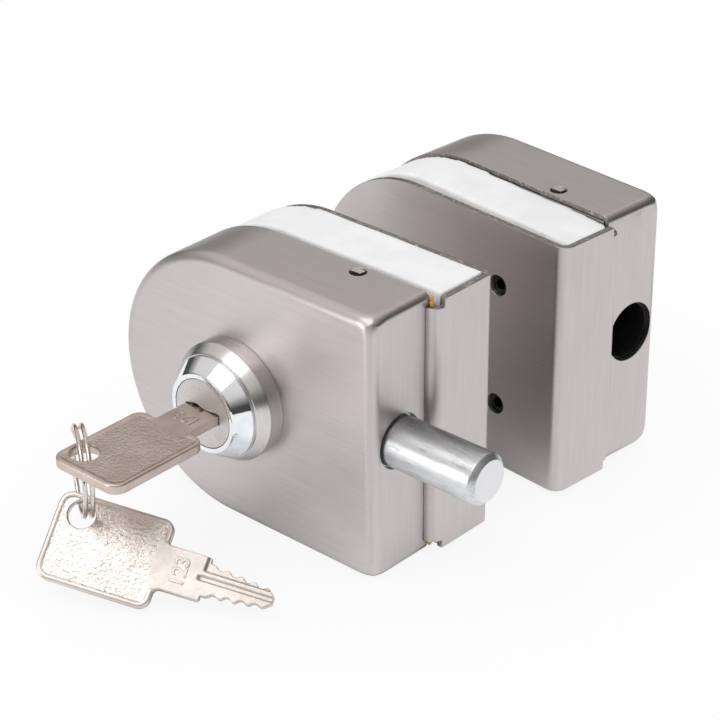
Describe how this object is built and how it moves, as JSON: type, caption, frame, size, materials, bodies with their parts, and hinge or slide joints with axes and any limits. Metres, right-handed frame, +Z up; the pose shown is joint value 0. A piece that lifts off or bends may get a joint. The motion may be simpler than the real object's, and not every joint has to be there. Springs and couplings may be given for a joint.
{
  "type": "glass door lock",
  "caption": "Clamp-on glass door lock with a half-round case, key cylinder and sliding round bolt, its matching strike, and two keys on a split ring.",
  "frame": {"origin": "on the ground, in the middle of the lock case's underside, below the case's centre", "axes": "+X out along the bolt, +Y from the keyhole through the glass, +Z up"},
  "size_m": [0.102, 0.15, 0.0658],
  "materials": {
    "brushed_stainless": "fine brushed",
    "satin_collar": "satin",
    "polished_chrome": "mirror polished",
    "nickel_key": "nickel plated, pebbled bow",
    "plug_nickel": "matte nickel",
    "zinc_plate": "zinc plated",
    "black_steel": "black oxide",
    "brass": "plain",
    "white_pad": "smooth",
    "white_foam": "closed-cell foam",
    "amber_adhesive": "glossy film",
    "black_rubber": "matte",
    "black_plastic": "moulded",
    "bright_wire": "polished wire"
  },
  "bodies": {
    "lock_body": {"lock_case": "brushed_stainless", "lock_frame": "brushed_stainless", "lock_glass_pad": "white_pad", "lock_adhesive": "amber_adhesive", "lock_catch_rivets": "zinc_plate", "chassis": "zinc_plate", "chassis_screws": "zinc_plate", "cylinder_collar": "satin_collar", "cylinder_housing": "polished_chrome", "cylinder_clip": "bright_wire"},
    "plug": {"cylinder_plug": "plug_nickel", "plug_ring": "bright_wire", "wafers": "brass", "wafer_springs": "bright_wire", "pinion": "brass"},
    "bolt": {"bolt": "zinc_plate", "rack_carrier": "zinc_plate"},
    "key_1": {"key_1": "nickel_key"},
    "key_ring": {"key_ring": "bright_wire"},
    "key_2": {"key_2": "nickel_key"},
    "lock_clamp": {"lock_pressure_plate": "zinc_plate", "lock_pressure_pad": "black_rubber", "lock_set_screws": "black_steel"},
    "lock_foam": {"lock_foam_blank": "white_foam"},
    "lock_upper_catch": {"lock_upper_catch": "bright_wire"},
    "lock_lower_catch": {"lock_lower_catch": "bright_wire"},
    "strike": {"strike_case": "brushed_stainless", "strike_frame": "brushed_stainless", "strike_glass_pad": "white_pad", "strike_adhesive": "amber_adhesive", "strike_catch_rivets": "zinc_plate", "strike_socket": "black_plastic", "socket_screws": "zinc_plate"},
    "strike_clamp": {"strike_pressure_plate": "zinc_plate", "strike_pressure_pad": "black_rubber", "strike_set_screws": "black_steel"},
    "strike_foam": {"strike_foam_blank": "white_foam"},
    "strike_upper_catch": {"strike_upper_catch": "bright_wire"},
    "strike_lower_catch": {"strike_lower_catch": "bright_wire"}
  },
  "joints": [
    {"name": "plug_turn", "type": "hinge", "parent": "lock_body", "child": "plug", "pos_m": [-0.002, -0.00925, 0.0325], "axis": [0, -1, 0], "range_deg": [0, 180]},
    {"name": "bolt_slide", "type": "slide", "parent": "lock_body", "child": "bolt", "axis": [-1, 0, 0], "range_m": [0, 0.02513]},
    {"name": "key_withdraw", "type": "slide", "parent": "plug", "child": "key_1", "axis": [0, -1, 0], "range_m": [0, 0.03]},
    {"name": "ring_swing", "type": "hinge", "parent": "key_1", "child": "key_ring", "pos_m": [-0.01281, -0.04654, 0.0354], "axis": [-0.8192, 0.5736, 0], "range_deg": [-15, 15]},
    {"name": "key_2_swing", "type": "hinge", "parent": "key_ring", "child": "key_2", "pos_m": [-0.01281, -0.04654, 0.0154], "axis": [-0.8192, 0.5736, 0], "range_deg": [-20, 5]},
    {"name": "lock_clamp_travel", "type": "slide", "parent": "lock_body", "child": "lock_clamp", "axis": [0, 1, 0], "range_m": [0, 0.001]},
    {"name": "lock_foam_withdraw", "type": "slide", "parent": "lock_body", "child": "lock_foam", "axis": [-1, 0, 0], "range_m": [0, 0.09]},
    {"name": "lock_upper_catch_press", "type": "slide", "parent": "lock_body", "child": "lock_upper_catch", "axis": [0, 0, -1], "range_m": [0, 0.001], "stiffness_N_per_m": 1500, "springref_m": -0.0005},
    {"name": "lock_lower_catch_press", "type": "slide", "parent": "lock_body", "child": "lock_lower_catch", "axis": [0, 0, 1], "range_m": [0, 0.001], "stiffness_N_per_m": 1500, "springref_m": -0.0005},
    {"name": "strike_apart", "type": "slide", "parent": "lock_body", "child": "strike", "axis": [0, 1, 0], "range_m": [0, 0.06]},
    {"name": "strike_clamp_travel", "type": "slide", "parent": "strike", "child": "strike_clamp", "axis": [-0.0785, -0.9969, 0], "range_m": [0, 0.001]},
    {"name": "strike_foam_withdraw", "type": "slide", "parent": "strike", "child": "strike_foam", "axis": [-0.9969, 0.0785, 0], "range_m": [0, 0.09]},
    {"name": "strike_upper_catch_press", "type": "slide", "parent": "strike", "child": "strike_upper_catch", "axis": [0, 0, -1], "range_m": [0, 0.001], "stiffness_N_per_m": 1500, "springref_m": -0.0005},
    {"name": "strike_lower_catch_press", "type": "slide", "parent": "strike", "child": "strike_lower_catch", "axis": [0, 0, 1], "range_m": [0, 0.001], "stiffness_N_per_m": 1500, "springref_m": -0.0005}
  ],
  "couplings": [
    {"joint": "plug_turn", "follows": "bolt_slide", "rad_per_m": 125}
  ]
}
